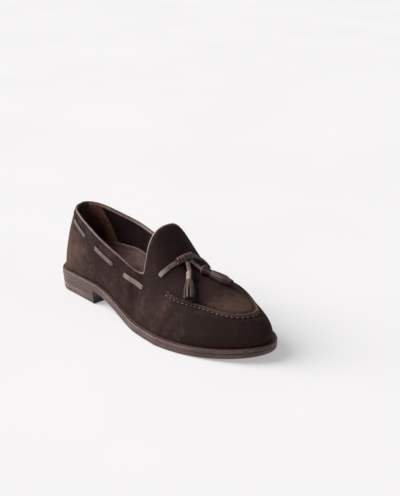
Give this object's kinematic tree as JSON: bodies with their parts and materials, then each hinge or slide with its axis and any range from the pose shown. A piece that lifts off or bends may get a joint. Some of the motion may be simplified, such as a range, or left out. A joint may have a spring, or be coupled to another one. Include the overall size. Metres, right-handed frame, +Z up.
{
  "type": "suede loafer",
  "caption": "Right suede slip-on shoe with a moccasin apron, a tasselled lace across the vamp and a stacked heel on a welted leather sole.",
  "frame": {"origin": "on the floor under the middle of the shoe's length and width", "axes": "+X from the heel to the toe, +Y to the inner side of the foot, +Z up"},
  "size_m": [0.3, 0.1058, 0.1024],
  "materials": {
    "sole_leather": "matte",
    "welt_leather": "satin",
    "heel_leather": "satin",
    "lift_rubber": "matte",
    "suede": "napped suede",
    "sock_leather": "satin",
    "binding_leather": "satin",
    "lace_leather": "satin",
    "tassel_leather": "satin"
  },
  "bodies": {
    "root": {"outsole": "sole_leather", "welt": "welt_leather", "heel_stack": "heel_leather", "top_lift": "lift_rubber", "upper": "suede", "insole": "sock_leather", "edge_binding": "binding_leather", "lace_outer_rear": "lace_leather", "lace_outer_middle": "lace_leather", "lace_outer_front": "lace_leather", "lace_inner_rear": "lace_leather", "lace_inner_middle": "lace_leather", "lace_inner_front": "lace_leather", "strap_outer": "lace_leather", "strap_inner": "lace_leather", "knot": "lace_leather", "tassel_cord_outer": "lace_leather", "tassel_cap_outer": "tassel_leather", "tassel_fringe_outer": "tassel_leather", "tassel_cord_inner": "lace_leather", "tassel_cap_inner": "tassel_leather", "tassel_fringe_inner": "tassel_leather"}
  },
  "joints": []
}
